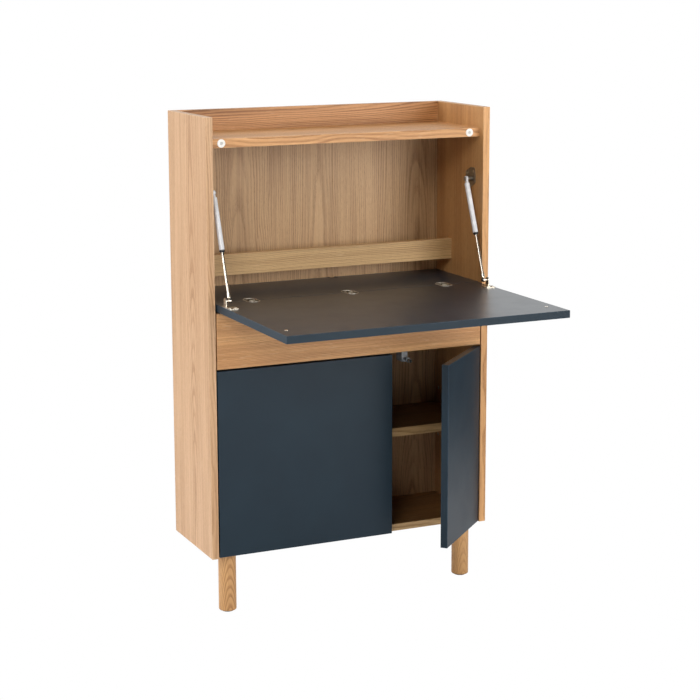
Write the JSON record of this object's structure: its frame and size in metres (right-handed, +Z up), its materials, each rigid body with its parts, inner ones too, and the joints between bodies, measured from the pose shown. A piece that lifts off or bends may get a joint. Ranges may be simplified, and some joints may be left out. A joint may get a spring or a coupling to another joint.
{
  "type": "secretary desk",
  "caption": "Tall narrow oak desk with slate fall front on stays, drawer, unequal cupboard doors and round front legs; it is fixed to the wall.",
  "frame": {"origin": "on the floor, at the middle of the footprint covered with the fall front open", "axes": "+X to the right seen from the front, +Y to the back, +Z up"},
  "size_m": [0.76, 0.69, 1.225],
  "materials": {
    "slate_lacquer": "satin slate-blue lacquer on wood board",
    "oak_upright_grain": "oiled oak veneer, grain upright",
    "oak_level_grain": "oiled oak veneer, grain level",
    "oak_turned": "turned solid oak",
    "beech": "plain beech",
    "birch_ply": "clear lacquered birch",
    "satin_nickel": "satin nickel plate",
    "white_enamel": "white enamelled tube",
    "polished_steel": "polished steel",
    "zinc_steel": "zinc plated steel",
    "white_plastic": "white moulded plastic",
    "dark_magnet": "dark ferrite",
    "black_plastic": "black moulded glide",
    "grey_plastic": "grey moulded plastic"
  },
  "bodies": {
    "case": {"back_panel": "oak_upright_grain", "bottom_board": "oak_level_grain", "catch_housings": "white_plastic", "catch_magnets": "dark_magnet", "cupboard_shelf": "oak_level_grain", "cupboard_top_board": "oak_level_grain", "drawer_runner_channels": "zinc_steel", "flap_hinge_base_left": "satin_nickel", "flap_hinge_base_middle": "satin_nickel", "flap_hinge_base_right": "satin_nickel", "left_door_hinge_arms": "satin_nickel", "left_latch_housing": "grey_plastic", "left_leg": "oak_turned", "left_side_panel": "oak_upright_grain", "left_stay_bracket": "zinc_steel", "leg_bolts": "zinc_steel", "leg_glides": "black_plastic", "pen_rail": "oak_level_grain", "push_catch_housing": "grey_plastic", "right_door_hinge_arms": "satin_nickel", "right_latch_housing": "grey_plastic", "right_leg": "oak_turned", "right_side_panel": "oak_upright_grain", "right_stay_bracket": "zinc_steel", "shelf_pin_sleeves": "satin_nickel", "shelf_pins": "satin_nickel", "stay_bracket_screws": "zinc_steel", "top_board": "oak_level_grain", "upstand": "oak_level_grain", "wall_hanger_screws": "zinc_steel", "wall_hangers": "zinc_steel", "wooden_dowels": "beech", "writing_board": "slate_lacquer"},
    "leaf": {"fall_front": "slate_lacquer", "flap_hinge_leaf_left": "satin_nickel", "flap_hinge_leaf_middle": "satin_nickel", "flap_hinge_leaf_right": "satin_nickel", "leaf_strikes": "polished_steel", "left_stay_foot": "polished_steel", "right_stay_foot": "polished_steel", "stay_foot_screws": "zinc_steel"},
    "left_door": {"left_door": "slate_lacquer", "left_door_hinge_cups": "satin_nickel", "left_door_strike": "polished_steel"},
    "right_door": {"right_door": "slate_lacquer", "right_door_hinge_cups": "satin_nickel", "right_door_strike": "polished_steel"},
    "drawer": {"drawer_back": "birch_ply", "drawer_bottom": "birch_ply", "drawer_front": "oak_level_grain", "drawer_left_side": "birch_ply", "drawer_right_side": "birch_ply", "drawer_runner_members": "zinc_steel"},
    "left_cylinder": {"left_stay_cylinder": "white_enamel"},
    "right_cylinder": {"right_stay_cylinder": "white_enamel"},
    "left_rod": {"left_stay_rod": "polished_steel"},
    "right_rod": {"right_stay_rod": "polished_steel"},
    "left_plunger": {"left_latch_plunger": "polished_steel"},
    "right_plunger": {"right_latch_plunger": "polished_steel"},
    "push_plunger": {"push_catch_plunger": "grey_plastic"}
  },
  "joints": [
    {"name": "leaf_hinge", "type": "hinge", "parent": "case", "child": "leaf", "pos_m": [0, 0.099, 0.78], "axis": [-1, 0, 0], "range_deg": [0, 90]},
    {"name": "left_door_hinge", "type": "hinge", "parent": "case", "child": "left_door", "pos_m": [-0.359, 0.081, 0.3825], "axis": [0, 0, -1], "range_deg": [0, 105]},
    {"name": "right_door_hinge", "type": "hinge", "parent": "case", "child": "right_door", "pos_m": [0.359, 0.081, 0.3825], "axis": [0, 0, 1], "range_deg": [-43, 62]},
    {"name": "drawer_slide", "type": "slide", "parent": "case", "child": "drawer", "axis": [0, -1, 0], "range_m": [0, 0.16]},
    {"name": "left_stay_swing", "type": "hinge", "parent": "case", "child": "left_cylinder", "pos_m": [-0.3425, 0.133, 1.041], "axis": [1, 0, 0], "range_deg": [-0.5, 16.36]},
    {"name": "left_stay_stroke", "type": "slide", "parent": "left_cylinder", "child": "left_rod", "axis": [0, 0.3635, 0.9316], "range_m": [-0.001, 0.06516]},
    {"name": "right_stay_swing", "type": "hinge", "parent": "case", "child": "right_cylinder", "pos_m": [0.3425, 0.133, 1.041], "axis": [1, 0, 0], "range_deg": [-0.5, 16.36]},
    {"name": "right_stay_stroke", "type": "slide", "parent": "right_cylinder", "child": "right_rod", "axis": [0, 0.3635, 0.9316], "range_m": [-0.001, 0.06516]},
    {"name": "left_latch_push", "type": "slide", "parent": "case", "child": "left_plunger", "axis": [0, 1, 0], "range_m": [0, 0.004], "stiffness_N_per_m": 300},
    {"name": "right_latch_push", "type": "slide", "parent": "case", "child": "right_plunger", "axis": [0, 1, 0], "range_m": [0, 0.004], "stiffness_N_per_m": 300},
    {"name": "push_catch_push", "type": "slide", "parent": "case", "child": "push_plunger", "axis": [0, 1, 0], "range_m": [0, 0.004], "stiffness_N_per_m": 300}
  ],
  "couplings": [
    {"joint": "left_stay_swing", "follows": "leaf_hinge", "ratio": 0.17627},
    {"joint": "left_stay_stroke", "follows": "leaf_hinge", "m_per_rad": 0.040848},
    {"joint": "right_stay_swing", "follows": "leaf_hinge", "ratio": 0.17627},
    {"joint": "right_stay_stroke", "follows": "leaf_hinge", "m_per_rad": 0.040848}
  ]
}
